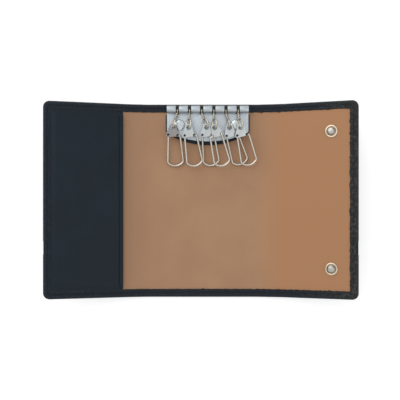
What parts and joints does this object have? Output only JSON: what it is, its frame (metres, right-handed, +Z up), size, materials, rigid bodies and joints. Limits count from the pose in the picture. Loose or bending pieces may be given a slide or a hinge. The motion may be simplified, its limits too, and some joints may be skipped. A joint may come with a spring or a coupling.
{
  "type": "trifold leather key case",
  "caption": "Trifold leather key case lying open, with a row of wire-loop key hooks on a metal plate, a slip pocket and snap studs.",
  "frame": {"origin": "middle of the face that the case rests on, under the middle panel", "axes": "+X towards the wing with the snap studs, +Y towards the key plate, +Z up out of the open case"},
  "size_m": [0.1579, 0.0996, 0.0189],
  "materials": {
    "black_leather": "pebble-grain leather, low sheen",
    "tan_lining": "tan lining leather, matte",
    "smooth_leather": "smooth black leather, low sheen",
    "board": "fibre board stiffener, hidden",
    "plate_metal": "nickel-plated sheet, satin",
    "hook_metal": "nickel-plated stamping, satin",
    "link_metal": "plated wire with a warm tint",
    "wire_metal": "plated spring wire",
    "snap_metal": "plated snap, pale gold rim",
    "hidden_metal": "plated, hidden inside the leather"
  },
  "bodies": {
    "middle_panel": {"middle_cover": "black_leather", "middle_lining": "tan_lining", "middle_board": "board", "middle_band": "smooth_leather", "plate_backing": "smooth_leather", "key_plate": "plate_metal", "key_rod": "plate_metal", "plate_rivets": "plate_metal", "rivet_washers": "hidden_metal"},
    "left_strip": {"left_strip_cover": "black_leather", "left_strip_lining": "tan_lining", "left_strip_band": "smooth_leather"},
    "left_wing": {"left_wing_cover": "black_leather", "left_wing_lining": "tan_lining", "left_wing_board": "board", "left_wing_band": "smooth_leather", "pocket_panel": "smooth_leather", "snap_sockets": "snap_metal", "socket_posts": "hidden_metal"},
    "right_strip": {"right_strip_cover": "black_leather", "right_strip_lining": "tan_lining", "right_strip_band": "smooth_leather"},
    "right_wing": {"right_wing_cover": "black_leather", "right_wing_lining": "tan_lining", "right_wing_board": "board", "right_wing_band": "smooth_leather", "snap_studs": "snap_metal", "stud_posts": "hidden_metal"},
    "hanger_1": {"link_1": "link_metal"},
    "hook_1": {"hook_plate_1": "hook_metal"},
    "loop_1": {"wire_loop_1": "wire_metal"},
    "hanger_2": {"link_2": "link_metal"},
    "hook_2": {"hook_plate_2": "hook_metal"},
    "loop_2": {"wire_loop_2": "wire_metal"},
    "hanger_3": {"link_3": "link_metal"},
    "hook_3": {"hook_plate_3": "hook_metal"},
    "loop_3": {"wire_loop_3": "wire_metal"},
    "hanger_4": {"link_4": "link_metal"},
    "hook_4": {"hook_plate_4": "hook_metal"},
    "loop_4": {"wire_loop_4": "wire_metal"},
    "hanger_5": {"link_5": "link_metal"},
    "hook_5": {"hook_plate_5": "hook_metal"},
    "loop_5": {"wire_loop_5": "wire_metal"},
    "hanger_6": {"link_6": "link_metal"},
    "hook_6": {"hook_plate_6": "hook_metal"},
    "loop_6": {"wire_loop_6": "wire_metal"}
  },
  "joints": [
    {"name": "left_fold_inner", "type": "hinge", "parent": "middle_panel", "child": "left_strip", "pos_m": [-0.028, 0, 0.0027], "axis": [0, 1, 0], "range_deg": [-8.5, 81.5]},
    {"name": "left_fold_outer", "type": "hinge", "parent": "left_strip", "child": "left_wing", "pos_m": [-0.03661, 0, 0.00399], "axis": [0, 1, 0], "range_deg": [-8.5, 81.5]},
    {"name": "right_fold_inner", "type": "hinge", "parent": "middle_panel", "child": "right_strip", "pos_m": [0.028, 0, 0.0027], "axis": [0, -1, 0], "range_deg": [-10.5, 79.5]},
    {"name": "right_fold_outer", "type": "hinge", "parent": "right_strip", "child": "right_wing", "pos_m": [0.0405, 0, 0.00502], "axis": [0, -1, 0], "range_deg": [-10.5, 79.5]},
    {"name": "hanger_swing_1", "type": "hinge", "parent": "middle_panel", "child": "hanger_1", "pos_m": [-0.01293, 0.0468, 0.0051], "axis": [-1, 0, 0], "range_deg": [0, 175]},
    {"name": "hanger_swing_2", "type": "hinge", "parent": "middle_panel", "child": "hanger_2", "pos_m": [-0.0067, 0.0468, 0.0051], "axis": [-1, 0, 0], "range_deg": [0, 175]},
    {"name": "hanger_swing_3", "type": "hinge", "parent": "middle_panel", "child": "hanger_3", "pos_m": [-0.00047, 0.0468, 0.0051], "axis": [-1, 0, 0], "range_deg": [0, 175]},
    {"name": "hanger_swing_4", "type": "hinge", "parent": "hanger_3", "child": "hanger_4", "pos_m": [0.00575, 0.0468, 0.0051], "axis": [1, 0, 0], "range_deg": [-175, 0]},
    {"name": "hanger_swing_5", "type": "hinge", "parent": "middle_panel", "child": "hanger_5", "pos_m": [0.01198, 0.0468, 0.0051], "axis": [-1, 0, 0], "range_deg": [0, 175]},
    {"name": "hanger_swing_6", "type": "hinge", "parent": "hanger_5", "child": "hanger_6", "pos_m": [0.01821, 0.0468, 0.0051], "axis": [1, 0, 0], "range_deg": [-175, 0]},
    {"name": "hook_sway_1", "type": "hinge", "parent": "hanger_1", "child": "hook_1", "pos_m": [-0.01518, 0.03736, 0.0066], "axis": [0.0096, -0.1367, 0.9906], "range_deg": [-5, 5]},
    {"name": "hook_sway_2", "type": "hinge", "parent": "hanger_2", "child": "hook_2", "pos_m": [-0.00714, 0.03711, 0.00755], "axis": [0.0181, -0.1025, 0.9946], "range_deg": [-5, 5]},
    {"name": "hook_sway_3", "type": "hinge", "parent": "hanger_3", "child": "hook_3", "pos_m": [0.00204, 0.03743, 0.0066], "axis": [0.0191, -0.1357, 0.9906], "range_deg": [-5, 5]},
    {"name": "hook_sway_4", "type": "hinge", "parent": "hanger_4", "child": "hook_4", "pos_m": [0.00619, 0.03711, 0.00755], "axis": [0.0216, -0.1018, 0.9946], "range_deg": [-5, 5]},
    {"name": "hook_sway_5", "type": "hinge", "parent": "hanger_5", "child": "hook_5", "pos_m": [0.0137, 0.03725, 0.0066], "axis": [0.0435, -0.13, 0.9906], "range_deg": [-5, 5]},
    {"name": "hook_sway_6", "type": "hinge", "parent": "hanger_6", "child": "hook_6", "pos_m": [0.01941, 0.03717, 0.00831], "axis": [0.0357, -0.1381, 0.9898], "range_deg": [-5, 5]},
    {"name": "loop_open_1", "type": "hinge", "parent": "hook_1", "child": "loop_1", "pos_m": [-0.01764, 0.03362, 0.00611], "axis": [-0.0096, 0.1367, -0.9906], "range_deg": [0, 20]},
    {"name": "loop_open_2", "type": "hinge", "parent": "hook_2", "child": "loop_2", "pos_m": [-0.0092, 0.03311, 0.00718], "axis": [-0.0181, 0.1025, -0.9946], "range_deg": [0, 20]},
    {"name": "loop_open_3", "type": "hinge", "parent": "hook_3", "child": "loop_3", "pos_m": [-0.00016, 0.03352, 0.00611], "axis": [-0.0191, 0.1357, -0.9906], "range_deg": [0, 20]},
    {"name": "loop_open_4", "type": "hinge", "parent": "hook_4", "child": "loop_4", "pos_m": [0.0096, 0.03417, 0.00718], "axis": [0.0216, -0.1018, 0.9946], "range_deg": [0, 20]},
    {"name": "loop_open_5", "type": "hinge", "parent": "hook_5", "child": "loop_5", "pos_m": [0.01225, 0.03301, 0.00611], "axis": [-0.0435, 0.13, -0.9906], "range_deg": [0, 20]},
    {"name": "loop_open_6", "type": "hinge", "parent": "hook_6", "child": "loop_6", "pos_m": [0.01767, 0.03304, 0.0078], "axis": [0.0357, -0.1381, 0.9898], "range_deg": [-20, 0]}
  ],
  "couplings": [
    {"joint": "left_fold_outer", "follows": "left_fold_inner", "ratio": 1},
    {"joint": "right_fold_outer", "follows": "right_fold_inner", "ratio": 1}
  ]
}
